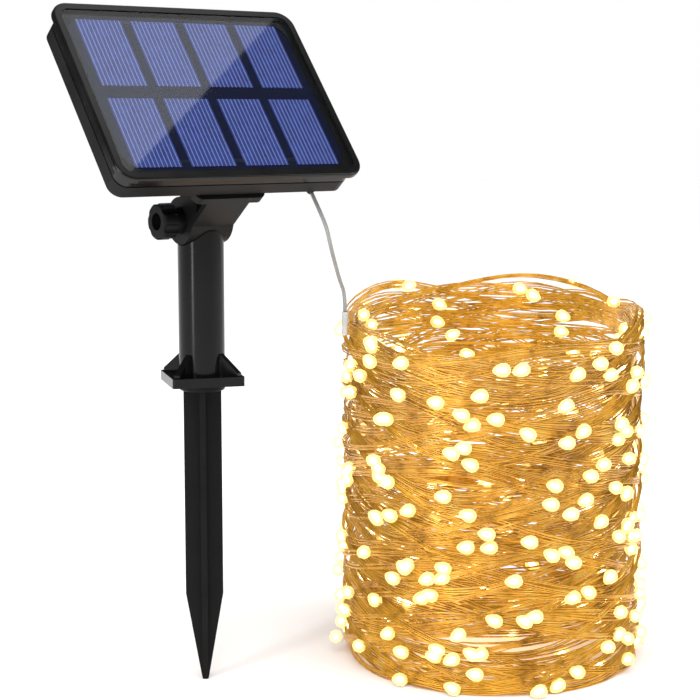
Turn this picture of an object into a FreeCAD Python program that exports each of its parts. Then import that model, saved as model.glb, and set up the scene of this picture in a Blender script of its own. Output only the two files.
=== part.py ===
import FreeCAD, Part
import math
import os
import Sketcher

Vec = FreeCAD.Vector

# Solar string lights: a tilting solar head on a ground stake, with its string of
# lights wound in a standing coil beside it. Millimetres, +Z up. The origin is the
# centre of the stake flange's underside, which lies on the ground in use. The tilt
# hinge runs along X and the panel faces -Y and up.
# Head pieces are drawn flat, panel facing +Z, with the tilt hinge at their origin,
# and placed by the rest tilt.

SIZES = [
    ("panel_width", 104.0),
    ("panel_height", 79.5),
    ("panel_round", 7.0),
    ("face_level", 36.5),
    ("hinge_setback", 8.0),
    ("panel_tilt", 51.0),
    ("bezel_plate", 2.2),
    ("bezel_depth", 7.0),
    ("wall_inset", 2.2),
    ("rim_width", 3.0),
    ("glass_ledge", 1.8),
    ("glass_thick", 1.2),
    ("glass_sink", 0.4),
    ("seal_thick", 0.6),
    ("seal_inset", 1.0),
    ("seal_width", 1.6),
    ("cover_depth", 6.4),
    ("cover_floor", 1.6),
    ("cover_wall", 3.8),
    ("cover_bevel", 1.0),
    ("board_thick", 1.0),
    ("cell_width", 18.7),
    ("cell_height", 30.4),
    ("cell_thick", 0.3),
    ("cell_gap_across", 3.9),
    ("cell_gap_up", 5.8),
    ("screw_radius", 0.9),
    ("screw_head_radius", 1.9),
    ("screw_inset", 6.6),
    ("circuit_width", 34.0),
    ("circuit_height", 30.0),
    ("circuit_thick", 1.6),
    ("circuit_rise", 4.0),
    ("circuit_across", 24.0),
    ("battery_width", 42.0),
    ("battery_height", 34.0),
    ("battery_thick", 5.0),
    ("battery_across", -23.0),
    ("switch_side", 6.0),
    ("switch_tall", 2.2),
    ("button_radius", 4.5),
    ("button_flange", 5.6),
    ("button_spacing", 16.0),
    ("button_proud", 1.1),
    ("button_clearance", 0.25),
    ("bracket_half", 9.0),
    ("bracket_depth", 6.8),
    ("bracket_foot_half", 15.0),
    ("bracket_foot_depth", 7.0),
    ("bracket_foot_thick", 3.0),
    ("knuckle_radius", 8.8),
    ("tongue_half", 3.6),
    ("washer_thick", 0.4),
    ("washer_gap", 0.1),
    ("hinge_height", 61.0),
    ("bolt_radius", 2.5),
    ("bolt_clearance", 0.05),
    ("nut_across", 8.0),
    ("nut_thick", 3.2),
    ("knob_gap", 0.3),
    ("knob_hub_radius", 5.0),
    ("knob_hub_length", 3.8),
    ("knob_radius", 6.8),
    ("knob_length", 5.8),
    ("knob_recess_radius", 3.2),
    ("knob_flute_radius", 2.2),
    ("insert_radius", 3.8),
    ("post_radius", 8.6),
    ("flange_side", 27.0),
    ("flange_thick", 3.5),
    ("flange_turn", -21.0),
    ("gusset_reach", 16.6),
    ("gusset_tall", 8.0),
    ("gusset_thick", 2.6),
    ("saddle_gap", 0.4),
    ("horn_drop", 3.8),
    ("lug_radius", 5.2),
    ("lug_stem", 4.0),
    ("lug_gap", 0.5),
    ("tilt_limit", 63.0),
    ("socket_radius", 6.5),
    ("socket_deep", 30.0),
    ("collar_deep", 1.0),
    ("collar_gap", 0.3),
    ("collar_tall", 2.7),
    ("spike_length", 115.0),
    ("spike_straight", 81.0),
    ("blade_width", 14.2),
    ("blade_thick", 2.3),
    ("spike_tip", 2.6),
    ("spike_turn", -32.0),
    ("plug_clearance", 0.05),
    ("plug_length", 26.0),
    ("gland_across", 38.5),
    ("gland_up", 4.5),
    ("gland_radius", 3.2),
    ("gland_drop", 3.2),
    ("gland_length", 7.5),
    ("gland_bore", 2.6),
    ("lead_radius", 0.75),
    ("lead_start", 8.0),
    ("joint_radius", 1.3),
    ("joint_length", 9.0),
    ("coil_across", 111.7),
    ("coil_ahead", -37.7),
    ("coil_radius", 58.4),
    ("coil_thick", 8.0),
    ("coil_tall", 136.0),
    ("coil_slope", 9.0),
    ("bead_radius", 1.4),
]

doc = FreeCAD.newDocument("SolarStringLights")
sheet = doc.addObject("Spreadsheet::Sheet", "Sizes")
for row, (alias, value) in enumerate(SIZES, start=1):
    sheet.set(f"A{row}", alias)
    sheet.set(f"B{row}", str(value))
    sheet.setAlias(f"B{row}", alias)
doc.recompute()


def size(alias):
    """A driving dimension's value, for the few shapes that take it as a number."""
    return float(sheet.get(alias))


def formula(text):
    """An expression with each driving dimension written as a cell of the sheet."""
    names = sorted((alias for alias, _ in SIZES), key=len, reverse=True)
    words = text.replace("(", " ( ").replace(")", " ) ").split()
    return " ".join(f"Sizes.{w}" if w in names else w for w in words)


def bind(thing, prop, text):
    thing.setExpression(prop, formula(text))


def label(thing, name):
    thing.Label = name
    NODES.append(thing)
    return thing


NODES = []
ROUGH = 40.0
COLLAR_ROOM = 0.3


# ---- PartDesign helpers ----

def new_body(name):
    return label(doc.addObject("PartDesign::Body", name), name)


def in_head(thing):
    """Put a piece that is drawn flat on the tilted head."""
    thing.Placement = FreeCAD.Placement(Vec(0, 0, 0), FreeCAD.Rotation(Vec(1, 0, 0), 1))
    bind(thing, "Placement.Base.z", "hinge_height")
    thing.setExpression("Placement.Rotation.Angle", "Sizes.panel_tilt * 1 deg")
    return thing


def new_sketch(body, plane, level="0", turn=None):
    """A sketch on one of the body's own origin planes, raised to a level along its normal."""
    sketch = body.newObject("Sketcher::SketchObject", body.Name + "_sketch")
    sketch.AttachmentSupport = [(origin_plane(body, plane), "")]
    sketch.MapMode = "FlatFace"
    if turn is not None:
        spin = FreeCAD.Rotation(Vec(0, 1, 0), turn)
        sketch.AttachmentOffset = FreeCAD.Placement(Vec(0, 0, 0), spin)
    bind(sketch, "AttachmentOffset.Base.z", level)
    return sketch


def origin_plane(body, plane):
    return [o for o in body.Origin.OriginFeatures if o.Role == plane][0]


def draw_polygon(sketch, points):
    """A closed outline whose corners are given as pairs of expressions."""
    count = len(points)
    seed = [Vec(math.cos(i), math.sin(i), 0) for i in range(count)]
    for i in range(count):
        sketch.addGeometry(Part.LineSegment(seed[i], seed[(i + 1) % count]), False)
    for i in range(count):
        sketch.addConstraint(Sketcher.Constraint("Coincident", i, 2, (i + 1) % count, 1))
    for i, (across, up) in enumerate(points):
        place_point(sketch, i, 1, across, up)


def place_point(sketch, geometry, point, across, up):
    for kind, text in (("DistanceX", across), ("DistanceY", up)):
        rule = Sketcher.Constraint(kind, -1, 1, geometry, point, 1.0)
        index = sketch.addConstraint(rule)
        bind(sketch, f"Constraints[{index}]", text)


def draw_rectangle(sketch, width, height, across="0", up="0"):
    right = f"( {across} ) + ( {width} ) / 2"
    left = f"( {across} ) - ( {width} ) / 2"
    top = f"( {up} ) + ( {height} ) / 2"
    low = f"( {up} ) - ( {height} ) / 2"
    draw_polygon(sketch, [(left, low), (right, low), (right, top), (left, top)])


def draw_round_rectangle(sketch, width, height, corner, up):
    """A rectangle centred across, with quarter-circle corners."""
    sides = ((1, 1), (-1, 1), (-1, -1), (1, -1))
    arcs = []
    for i, (side, rise) in enumerate(sides):
        turn = i * math.pi / 2
        circle = Part.Circle(Vec(ROUGH * side, ROUGH * rise, 0), Vec(0, 0, 1), ROUGH / 8)
        arcs.append(Part.ArcOfCircle(circle, turn, turn + math.pi / 2))
        sketch.addGeometry(arcs[i], False)
    for i in range(4):
        after = arcs[(i + 1) % 4]
        sketch.addGeometry(Part.LineSegment(arcs[i].EndPoint, after.StartPoint), False)
    for i in range(4):
        sketch.addConstraint(Sketcher.Constraint("Tangent", i, 2, 4 + i, 1))
        sketch.addConstraint(Sketcher.Constraint("Tangent", 4 + i, 2, (i + 1) % 4, 1))
    for i, (side, rise) in enumerate(sides):
        across = f"{side} * ( ( {width} ) / 2 - ( {corner} ) )"
        along = f"( {up} ) + {rise} * ( ( {height} ) / 2 - ( {corner} ) )"
        place_point(sketch, i, 3, across, along)
        index = sketch.addConstraint(Sketcher.Constraint("Radius", i, ROUGH / 8))
        bind(sketch, f"Constraints[{index}]", corner)


def draw_circle(sketch, radius, across="0", up="0"):
    index = sketch.addGeometry(Part.Circle(Vec(0.5, 0.5, 0), Vec(0, 0, 1), 1.0), False)
    place_point(sketch, index, 3, across, up)
    rule = sketch.addConstraint(Sketcher.Constraint("Radius", index, 1.0))
    bind(sketch, f"Constraints[{rule}]", radius)
    return index


def pad(body, sketch, length, down=False, both=False):
    feature = body.newObject("PartDesign::Pad", body.Name + "_pad")
    feature.Profile = sketch
    bind(feature, "Length", length)
    feature.Reversed = down
    feature.Midplane = both
    return feature


def pocket(body, sketch, length, up=False, both=False):
    feature = body.newObject("PartDesign::Pocket", body.Name + "_pocket")
    feature.Profile = sketch
    bind(feature, "Length", length)
    feature.Reversed = up
    feature.Midplane = both
    return feature


def polar(body, feature, axis, count):
    pattern = body.newObject("PartDesign::PolarPattern", body.Name + "_pattern")
    pattern.Originals = [feature]
    pattern.Axis = (origin_plane(body, axis), [""])
    pattern.Angle = 360
    pattern.Occurrences = count
    body.Tip = pattern
    return pattern


def edges_where(shape, test):
    return [f"Edge{i}" for i, e in enumerate(shape.Edges, start=1) if test(e)]


def round_edges(body, radius, test, kind="Fillet"):
    doc.recompute()
    base = body.Tip
    names = edges_where(base.Shape, test)
    feature = body.newObject("PartDesign::" + kind, body.Name + "_" + kind.lower())
    feature.Base = (base, names)
    bind(feature, "Radius" if kind == "Fillet" else "Size", radius)
    return feature


def at_level(edge, level, tolerance=0.01):
    box = edge.BoundBox
    return abs(box.ZMin - level) < tolerance and abs(box.ZMax - level) < tolerance


# ---- named places on the head ----

PANEL_MIDDLE = "panel_height / 2 - hinge_setback"
BOTTOM_OF_BEZEL = "face_level - bezel_depth"
TOP_OF_COVER = "face_level - bezel_depth - seal_thick"
BACK_OF_COVER = "face_level - bezel_depth - seal_thick - cover_depth"
FLOOR = BACK_OF_COVER + " + cover_floor"
GLASS_WIDTH = "panel_width - 2 * rim_width"
GLASS_HEIGHT = "panel_height - 2 * rim_width"
WELL_WIDTH = GLASS_WIDTH + " - 2 * glass_ledge"
WELL_HEIGHT = GLASS_HEIGHT + " - 2 * glass_ledge"
GLASS_UNDER = "face_level - glass_sink - glass_thick"
CELL_GAP = 0.1
BOARD_TOP = f"{GLASS_UNDER} - {CELL_GAP} - cell_thick"
SIDE_WIDTH = "panel_width - 2 * wall_inset"
SIDE_HEIGHT = "panel_height - 2 * wall_inset"
FIT = 0.2


def screw_spots():
    across = "( panel_width / 2 - screw_inset )"
    rise = "( panel_height / 2 - screw_inset )"
    return [
        (f"{side} * {across}", f"{PANEL_MIDDLE} + {up} * {rise}")
        for side in (-1, 1)
        for up in (-1, 1)
    ]


def make_front_bezel():
    body = in_head(new_body("front_bezel"))
    plate = new_sketch(body, "XY_Plane", "face_level - bezel_plate")
    draw_round_rectangle(plate, "panel_width", "panel_height", "panel_round", PANEL_MIDDLE)
    pad(body, plate, "bezel_plate")
    side = new_sketch(body, "XY_Plane", BOTTOM_OF_BEZEL)
    draw_round_rectangle(side, SIDE_WIDTH, SIDE_HEIGHT, "panel_round - wall_inset", PANEL_MIDDLE)
    pad(body, side, "bezel_depth - bezel_plate")
    seat = new_sketch(body, "XY_Plane", "face_level")
    draw_round_rectangle(
        seat, GLASS_WIDTH, GLASS_HEIGHT, "panel_round - rim_width", PANEL_MIDDLE
    )
    pocket(body, seat, "glass_sink + glass_thick")
    well = new_sketch(body, "XY_Plane", "face_level")
    draw_round_rectangle(well, WELL_WIDTH, WELL_HEIGHT, "panel_round + 2", PANEL_MIDDLE)
    pocket(body, well, "bezel_depth")
    holes = new_sketch(body, "XY_Plane", BOTTOM_OF_BEZEL)
    for across, up in screw_spots():
        draw_circle(holes, "screw_radius", across, up)
    pocket(body, holes, "bezel_depth - bezel_plate - 0.6", up=True)
    top = size("face_level")
    half = size("panel_width") / 2 - size("rim_width") / 2
    up_half = size("panel_height") / 2 - size("rim_width") / 2
    middle = size("panel_height") / 2 - size("hinge_setback")

    def outer_rim(edge):
        spot = edge.CenterOfMass
        out = abs(spot.x) > half - 3 or abs(spot.y - middle) > up_half - 3
        box = edge.BoundBox
        reach = max(abs(box.XMin), abs(box.XMax)) > half
        rise = max(abs(box.YMin - middle), abs(box.YMax - middle)) > up_half
        return at_level(edge, top) and out and (reach or rise)

    round_edges(body, "bezel_plate * 0.4", outer_rim)
    return body


def make_seal_ring():
    body = in_head(new_body("seal_ring"))
    ring = new_sketch(body, "XY_Plane", TOP_OF_COVER)
    draw_round_rectangle(
        ring,
        SIDE_WIDTH + " - 2 * seal_inset",
        SIDE_HEIGHT + " - 2 * seal_inset",
        "panel_round - wall_inset - seal_inset",
        PANEL_MIDDLE,
    )
    draw_inner = new_sketch(body, "XY_Plane", TOP_OF_COVER)
    draw_round_rectangle(
        draw_inner,
        SIDE_WIDTH + " - 2 * seal_inset - 2 * seal_width",
        SIDE_HEIGHT + " - 2 * seal_inset - 2 * seal_width",
        "panel_round + 5",
        PANEL_MIDDLE,
    )
    pad(body, ring, "seal_thick")
    pocket(body, draw_inner, "seal_thick", up=True)
    holes = new_sketch(body, "XY_Plane", TOP_OF_COVER)
    for across, up in screw_spots():
        draw_circle(holes, "screw_radius + 0.2", across, up)
    pocket(body, holes, "seal_thick", up=True)
    return body


def make_rear_cover():
    body = in_head(new_body("rear_cover"))
    shell = new_sketch(body, "XY_Plane", BACK_OF_COVER)
    draw_round_rectangle(
        shell, SIDE_WIDTH, SIDE_HEIGHT, "panel_round - wall_inset", PANEL_MIDDLE
    )
    pad(body, shell, "cover_depth")
    back = size("face_level") - size("bezel_depth") - size("seal_thick") - size("cover_depth")
    round_edges(body, "cover_bevel", lambda e: at_level(e, back), kind="Chamfer")
    hollow = new_sketch(body, "XY_Plane", TOP_OF_COVER)
    draw_round_rectangle(
        hollow,
        SIDE_WIDTH + " - 2 * cover_wall",
        SIDE_HEIGHT + " - 2 * cover_wall",
        "panel_round + 1",
        PANEL_MIDDLE,
    )
    pocket(body, hollow, "cover_depth - cover_floor")
    bosses = new_sketch(body, "XY_Plane", FLOOR)
    for side in (-1, 1):
        draw_circle(
            bosses, "2.2", f"circuit_across + {side} * ( circuit_width / 2 - 4 )", PANEL_MIDDLE
        )
    pad(body, bosses, "circuit_rise")
    feet = new_sketch(body, "XY_Plane", FLOOR)
    for side in (-1, 1):
        draw_circle(feet, "3", f"{side} * ( bracket_foot_half - 3.5 )", "0")
    pad(body, feet, "3")
    holes = new_sketch(body, "XY_Plane", BACK_OF_COVER)
    for across, up in screw_spots():
        draw_circle(holes, "screw_radius + 0.2", across, up)
    draw_circle(holes, "gland_bore", "gland_across", "gland_up")
    for side in (-1, 1):
        draw_circle(
            holes,
            "button_radius + button_clearance",
            f"circuit_across + {side} * button_spacing / 2",
            BUTTON_LINE,
        )
    pocket(body, holes, "cover_depth", up=True)
    seats = new_sketch(body, "XY_Plane", BACK_OF_COVER)
    for across, up in screw_spots():
        draw_circle(seats, "screw_head_radius + 0.2", across, up)
    pocket(body, seats, "cover_floor", up=True)
    pilots = new_sketch(body, "XY_Plane", BACK_OF_COVER)
    for side in (-1, 1):
        draw_circle(pilots, "screw_radius", f"{side} * ( bracket_foot_half - 3.5 )", "0")
    pocket(body, pilots, "cover_floor + 2.4", up=True)
    return body


BUTTON_LINE = "panel_height / 2 - hinge_setback + 9"


def make_glass_cover():
    body = in_head(new_body("glass_cover"))
    outline = new_sketch(body, "XY_Plane", GLASS_UNDER)
    draw_round_rectangle(
        outline,
        GLASS_WIDTH + f" - {FIT}",
        GLASS_HEIGHT + f" - {FIT}",
        f"panel_round - rim_width - {FIT} / 2",
        PANEL_MIDDLE,
    )
    pad(body, outline, "glass_thick")
    return body


def make_cell_board():
    body = in_head(new_body("cell_board"))
    outline = new_sketch(body, "XY_Plane", BOARD_TOP)
    draw_round_rectangle(
        outline,
        WELL_WIDTH + f" - {FIT}",
        WELL_HEIGHT + f" - {FIT}",
        "panel_round + 2",
        PANEL_MIDDLE,
    )
    pad(body, outline, "board_thick", down=True)
    return body


def make_solar_cells():
    """Eight cells in two rows of four, as one group."""
    body = doc.addObject("Part::Compound", "solar_cells")
    cells = []
    for row in (-0.5, 0.5):
        for column in (-1.5, -0.5, 0.5, 1.5):
            cell = doc.addObject("Part::Box", "cell")
            bind(cell, "Length", "cell_width")
            bind(cell, "Width", "cell_height")
            bind(cell, "Height", "cell_thick")
            across = f"{column} * ( cell_width + cell_gap_across ) - cell_width / 2"
            rise = f"{row} * ( cell_height + cell_gap_up ) - cell_height / 2"
            bind(cell, "Placement.Base.x", across)
            bind(cell, "Placement.Base.y", f"{PANEL_MIDDLE} + {rise}")
            bind(cell, "Placement.Base.z", BOARD_TOP)
            cells.append(cell)
    body.Links = cells
    in_head(body)
    return label(body, "solar_cells")


def make_bus_ribbons():
    """The tinned strips that join the cells, two between each pair and one across the middle."""
    body = doc.addObject("Part::Compound", "bus_ribbons")
    strips = []
    for row in (-0.5, 0.5):
        for gap in (-1, 0, 1):
            strip = doc.addObject("Part::Box", "ribbon")
            bind(strip, "Length", f"cell_gap_across - {FIT}")
            strip.Width = 1.6
            strip.Height = 0.2
            bind(
                strip,
                "Placement.Base.x",
                f"{gap} * ( cell_width + cell_gap_across ) - ( cell_gap_across - {FIT} ) / 2",
            )
            rise = f"{row} * ( cell_height + cell_gap_up ) + {row} * cell_height * 0.9"
            bind(strip, "Placement.Base.y", f"{PANEL_MIDDLE} + {rise}")
            bind(strip, "Placement.Base.z", BOARD_TOP)
            strips.append(strip)
    body.Links = strips
    in_head(body)
    return label(body, "bus_ribbons")


def make_circuit_board():
    body = in_head(new_body("circuit_board"))
    outline = new_sketch(body, "XY_Plane", FLOOR + " + circuit_rise")
    draw_rectangle(outline, "circuit_width", "circuit_height", "circuit_across", PANEL_MIDDLE)
    pad(body, outline, "circuit_thick")
    return body


def make_board_parts():
    """Controller chip, charging coil and two capacitors under the circuit board."""
    body = doc.addObject("Part::Compound", "board_parts")
    under = FLOOR + " + circuit_rise"
    chips = []
    for name, width, tall, across, up in (
        ("chip", 7.0, 1.6, -6.0, -6.0),
        ("inductor", 5.0, 2.4, 8.0, -8.0),
        ("capacitor", 3.0, 2.0, 1.0, -11.0),
        ("resistor", 2.0, 0.8, 9.0, -0.5),
    ):
        block = doc.addObject("Part::Box", name)
        block.Length = width
        block.Width = width * 0.8
        block.Height = tall
        bind(block, "Placement.Base.x", f"circuit_across + {across} - {width} / 2")
        bind(block, "Placement.Base.y", f"{PANEL_MIDDLE} + {up}")
        bind(block, "Placement.Base.z", f"{under} - {tall}")
        chips.append(block)
    body.Links = chips
    in_head(body)
    return label(body, "board_parts")


def make_tact_switches():
    body = doc.addObject("Part::Compound", "tact_switches")
    switches = []
    for side in (-1, 1):
        block = doc.addObject("Part::Box", "switch")
        bind(block, "Length", "switch_side")
        bind(block, "Width", "switch_side")
        bind(block, "Height", "switch_tall")
        middle = f"circuit_across + {side} * button_spacing / 2 - switch_side / 2"
        bind(block, "Placement.Base.x", middle)
        bind(block, "Placement.Base.y", BUTTON_LINE + " - switch_side / 2")
        bind(block, "Placement.Base.z", FLOOR + " + circuit_rise - switch_tall")
        switches.append(block)
    body.Links = switches
    in_head(body)
    return label(body, "tact_switches")


def make_battery_pack():
    body = in_head(new_body("battery_pack"))
    outline = new_sketch(body, "XY_Plane", FLOOR)
    draw_rectangle(outline, "battery_width", "battery_height", "battery_across", PANEL_MIDDLE)
    pad(body, outline, "battery_thick")
    round_edges(body, "battery_thick * 0.3", lambda e: e.BoundBox.ZLength > 1)
    return body


def make_button(name, side):
    body = in_head(new_body(name))
    middle = f"circuit_across + {side} * button_spacing / 2"
    cap = new_sketch(body, "XY_Plane", BACK_OF_COVER + " - button_proud")
    draw_circle(cap, "button_radius", middle, BUTTON_LINE)
    pad(body, cap, "button_proud + cover_floor + 0.1")
    flange = new_sketch(body, "XY_Plane", FLOOR + " + 0.1")
    draw_circle(flange, "button_flange", middle, BUTTON_LINE)
    pad(body, flange, "0.5")
    low = size("face_level") - size("bezel_depth") - size("seal_thick") - size("cover_depth")
    low -= size("button_proud")
    round_edges(body, "button_proud * 0.5", lambda e: at_level(e, low))
    return body


def make_housing_screws():
    body = doc.addObject("Part::Compound", "housing_screws")
    screws = []
    shank_top = "face_level - bezel_plate - 1"
    for across, up in screw_spots():
        head = doc.addObject("Part::Cylinder", "screw_head")
        bind(head, "Radius", "screw_head_radius")
        bind(head, "Height", "cover_floor - 0.2")
        shank = doc.addObject("Part::Cylinder", "screw_shank")
        bind(shank, "Radius", "screw_radius - 0.01")
        bind(shank, "Height", f"{shank_top} - ( {BACK_OF_COVER} + 0.2 )")
        for piece in (head, shank):
            bind(piece, "Placement.Base.x", across)
            bind(piece, "Placement.Base.y", up)
            bind(piece, "Placement.Base.z", BACK_OF_COVER + " + 0.2")
        slot = doc.addObject("Part::Box", "drive_slot")
        slot.Length = 2.6
        slot.Width = 0.6
        slot.Height = 0.7
        bind(slot, "Placement.Base.x", f"{across} - 1.3")
        bind(slot, "Placement.Base.y", f"{up} - 0.3")
        bind(slot, "Placement.Base.z", BACK_OF_COVER + " + 0.2")
        whole = doc.addObject("Part::Fuse", "screw_blank")
        whole.Base = head
        whole.Tool = shank
        cut = doc.addObject("Part::Cut", "screw")
        cut.Base = whole
        cut.Tool = slot
        screws.append(cut)
    body.Links = screws
    in_head(body)
    return label(body, "housing_screws")


def lug_swing():
    """The bracket's mouth: all that the post's lug sweeps from a flat panel to the steepest one."""
    steep = math.radians(size("tilt_limit"))
    half = "( lug_stem + lug_gap )"
    far = "( knuckle_radius + 3 )"
    side_up = (f"0 - {half} * {math.cos(steep):.6f}", f"{half} * {math.sin(steep):.6f}")
    far_across = f"{side_up[0]} - {far} * {math.sin(steep):.6f}"
    far_up = f"{side_up[1]} - {far} * {math.cos(steep):.6f}"
    return [
        (half, "0"),
        (half, f"0 - {far}"),
        (f"0 - {far} * 1.3", f"0 - {far}"),
        (far_across, far_up),
        side_up,
    ]


def make_tilt_bracket():
    body = in_head(new_body("tilt_bracket"))
    foot = new_sketch(body, "XY_Plane", BACK_OF_COVER)
    draw_round_rectangle(foot, "2 * bracket_foot_half", "2 * bracket_foot_depth", "3", "0")
    pad(body, foot, "bracket_foot_thick", down=True)
    block = new_sketch(body, "XY_Plane", "0")
    draw_rectangle(block, "2 * bracket_half", "2 * bracket_depth")
    pad(body, block, BACK_OF_COVER + " - 1")
    barrel = new_sketch(body, "YZ_Plane", "0")
    draw_circle(barrel, "knuckle_radius")
    pad(body, barrel, "2 * bracket_half", both=True)
    inner = "2 * ( tongue_half + washer_thick + 2 * washer_gap )"
    cavity = new_sketch(body, "YZ_Plane", "0")
    draw_circle(cavity, "lug_radius + lug_gap")
    pocket(body, cavity, inner, both=True)
    swing = new_sketch(body, "YZ_Plane", "0")
    draw_polygon(swing, lug_swing())
    pocket(body, swing, inner, both=True)
    bore = new_sketch(body, "YZ_Plane", "0")
    draw_circle(bore, "bolt_radius + bolt_clearance")
    pocket(body, bore, "4 * bracket_half", both=True)
    seat = new_sketch(body, "YZ_Plane", "bracket_half")
    draw_hexagon(seat, "nut_across / 2 + 0.05")
    pocket(body, seat, "nut_thick")
    recess = new_sketch(body, "YZ_Plane", "0 - bracket_half")
    corner = "( bracket_depth - 2 )"
    low = "( knuckle_radius + 2.2 )"
    draw_polygon(
        recess,
        [
            (f"0 - {corner}", low),
            (f"0 - {corner}", BACK_OF_COVER + " - bracket_foot_thick - 1.2"),
            (corner, BACK_OF_COVER + " - bracket_foot_thick - 1.2"),
        ],
    )
    pocket(body, recess, "2.4", up=True)
    holes = new_sketch(body, "XY_Plane", BACK_OF_COVER)
    for side in (-1, 1):
        draw_circle(holes, "screw_radius + 0.2", f"{side} * ( bracket_foot_half - 3.5 )", "0")
    pocket(body, holes, "2 * bracket_foot_thick")
    return body


def draw_hexagon(sketch, half_across):
    points = []
    for i in range(6):
        turn = math.radians(60 * i)
        reach = 2 / math.sqrt(3)
        points.append(
            (
                f"( {half_across} ) * {reach * math.cos(turn):.9f}",
                f"( {half_across} ) * {reach * math.sin(turn):.9f}",
            )
        )
    draw_polygon(sketch, points)


def make_bracket_screws():
    body = doc.addObject("Part::Compound", "bracket_screws")
    screws = []
    level = BACK_OF_COVER + " - bracket_foot_thick"
    for side in (-1, 1):
        head = doc.addObject("Part::Cylinder", "bracket_screw_head")
        bind(head, "Radius", "screw_head_radius")
        head.Height = 1.6
        bind(head, "Placement.Base.z", level + " - 1.6")
        shank = doc.addObject("Part::Cylinder", "bracket_screw_shank")
        bind(shank, "Radius", "screw_radius - 0.01")
        bind(shank, "Height", "bracket_foot_thick + cover_floor + 3.2")
        bind(shank, "Placement.Base.z", level + " - 1.2")
        for piece in (head, shank):
            bind(piece, "Placement.Base.x", f"{side} * ( bracket_foot_half - 3.5 )")
        whole = doc.addObject("Part::Fuse", "bracket_screw")
        whole.Base = head
        whole.Tool = shank
        screws.append(whole)
    body.Links = screws
    in_head(body)
    return label(body, "bracket_screws")


def make_hinge_bolt():
    """A hexagon-headed bolt: its head is held in the right cheek, its end is in the knob."""
    body = in_head(new_body("hinge_bolt"))
    head = new_sketch(body, "YZ_Plane", "bracket_half - 0.2")
    draw_hexagon(head, "nut_across / 2")
    pad(body, head, "nut_thick - 0.2", down=True)
    shank = new_sketch(body, "YZ_Plane", "bracket_half - 1")
    draw_circle(shank, "bolt_radius")
    pad(body, shank, "2 * bracket_half - 1 + knob_gap + knob_hub_length + 1.6", down=True)
    return body


def make_friction_washers():
    body = doc.addObject("Part::Compound", "friction_washers")
    washers = []
    for side in (-1, 1):
        disc = doc.addObject("Part::Cylinder", "washer_disc")
        bind(disc, "Radius", "lug_radius - 0.2")
        bind(disc, "Height", "washer_thick")
        bore = doc.addObject("Part::Cylinder", "washer_bore")
        bind(bore, "Radius", "bolt_radius + bolt_clearance")
        bind(bore, "Height", "washer_thick")
        for piece in (disc, bore):
            turn = FreeCAD.Rotation(Vec(0, 1, 0), 90)
            piece.Placement = FreeCAD.Placement(Vec(0, 0, 0), turn)
            start = "tongue_half + washer_gap"
            if side < 0:
                start = f"0 - ( {start} ) - washer_thick"
            bind(piece, "Placement.Base.x", start)
        ring = doc.addObject("Part::Cut", "washer")
        ring.Base = disc
        ring.Tool = bore
        washers.append(ring)
    body.Links = washers
    in_head(body)
    return label(body, "friction_washers")


KNOB_NEAR = "0 - bracket_half - knob_gap"


def make_knob():
    body = in_head(new_body("knob"))
    hub = new_sketch(body, "YZ_Plane", KNOB_NEAR)
    draw_circle(hub, "knob_hub_radius")
    pad(body, hub, "knob_hub_length + 1", down=True)
    grip = new_sketch(body, "YZ_Plane", f"{KNOB_NEAR} - knob_hub_length")
    draw_circle(grip, "knob_radius")
    pad(body, grip, "knob_length", down=True)
    end = -size("bracket_half") - size("knob_gap") - size("knob_hub_length") - size("knob_length")

    def end_edge(edge):
        return abs(edge.BoundBox.XMin - end) < 0.01 and abs(edge.BoundBox.XMax - end) < 0.01

    round_edges(body, "knob_length * 0.2", end_edge)
    seat = new_sketch(body, "YZ_Plane", KNOB_NEAR)
    draw_circle(seat, "insert_radius")
    pocket(body, seat, "knob_hub_length - 0.4")
    recess = new_sketch(body, "YZ_Plane", KNOB_NEAR)
    draw_circle(recess, "knob_recess_radius")
    pocket(body, recess, "knob_hub_length + knob_length + 1")
    flute = new_sketch(body, "YZ_Plane", f"{KNOB_NEAR} - knob_hub_length + 0.01")
    draw_circle(flute, "knob_flute_radius", "0", "knob_radius + knob_flute_radius * 0.45")
    cut = pocket(body, flute, "knob_length + 1")
    polar(body, cut, "X_Axis", 6)
    return body


def make_knob_insert():
    body = in_head(new_body("knob_insert"))
    ring = new_sketch(body, "YZ_Plane", KNOB_NEAR)
    draw_circle(ring, "insert_radius")
    pad(body, ring, "knob_hub_length - 0.4", down=True)
    bore = new_sketch(body, "YZ_Plane", KNOB_NEAR)
    draw_circle(bore, "bolt_radius + bolt_clearance")
    pocket(body, bore, "knob_hub_length")
    return body


def make_cable_gland():
    """Elbow strain relief: a neck through the cover, a body behind it and a boot that points down."""
    body = in_head(new_body("cable_gland"))
    neck = new_sketch(body, "XY_Plane", BACK_OF_COVER)
    draw_circle(neck, "gland_bore - 0.02", "gland_across", "gland_up")
    pad(body, neck, "cover_floor + 0.02")
    flange = new_sketch(body, "XY_Plane", FLOOR)
    draw_circle(flange, "gland_radius", "gland_across", "gland_up")
    pad(body, flange, "1")
    elbow = new_sketch(body, "XY_Plane", BACK_OF_COVER)
    draw_circle(elbow, "gland_radius", "gland_across", "gland_up")
    pad(body, elbow, "2 * gland_drop - 0.4", down=True)
    boot = new_sketch(body, "YZ_Plane", "gland_across")
    low = "gland_up - gland_length"
    middle = BACK_OF_COVER + " - gland_drop"
    draw_polygon(
        boot,
        [
            ("gland_up", middle),
            (low, middle),
            (low, middle + " + lead_radius + 0.5"),
            ("gland_up - gland_radius - 1", middle + " + gland_drop * 0.75"),
            ("gland_up", middle + " + gland_drop * 0.75"),
        ],
    )
    turn = body.newObject("PartDesign::Revolution", "cable_gland_boot")
    turn.Profile = boot
    turn.ReferenceAxis = (boot, ["Edge1"])
    turn.Angle = 360
    return body


# ---- stake ----

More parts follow.
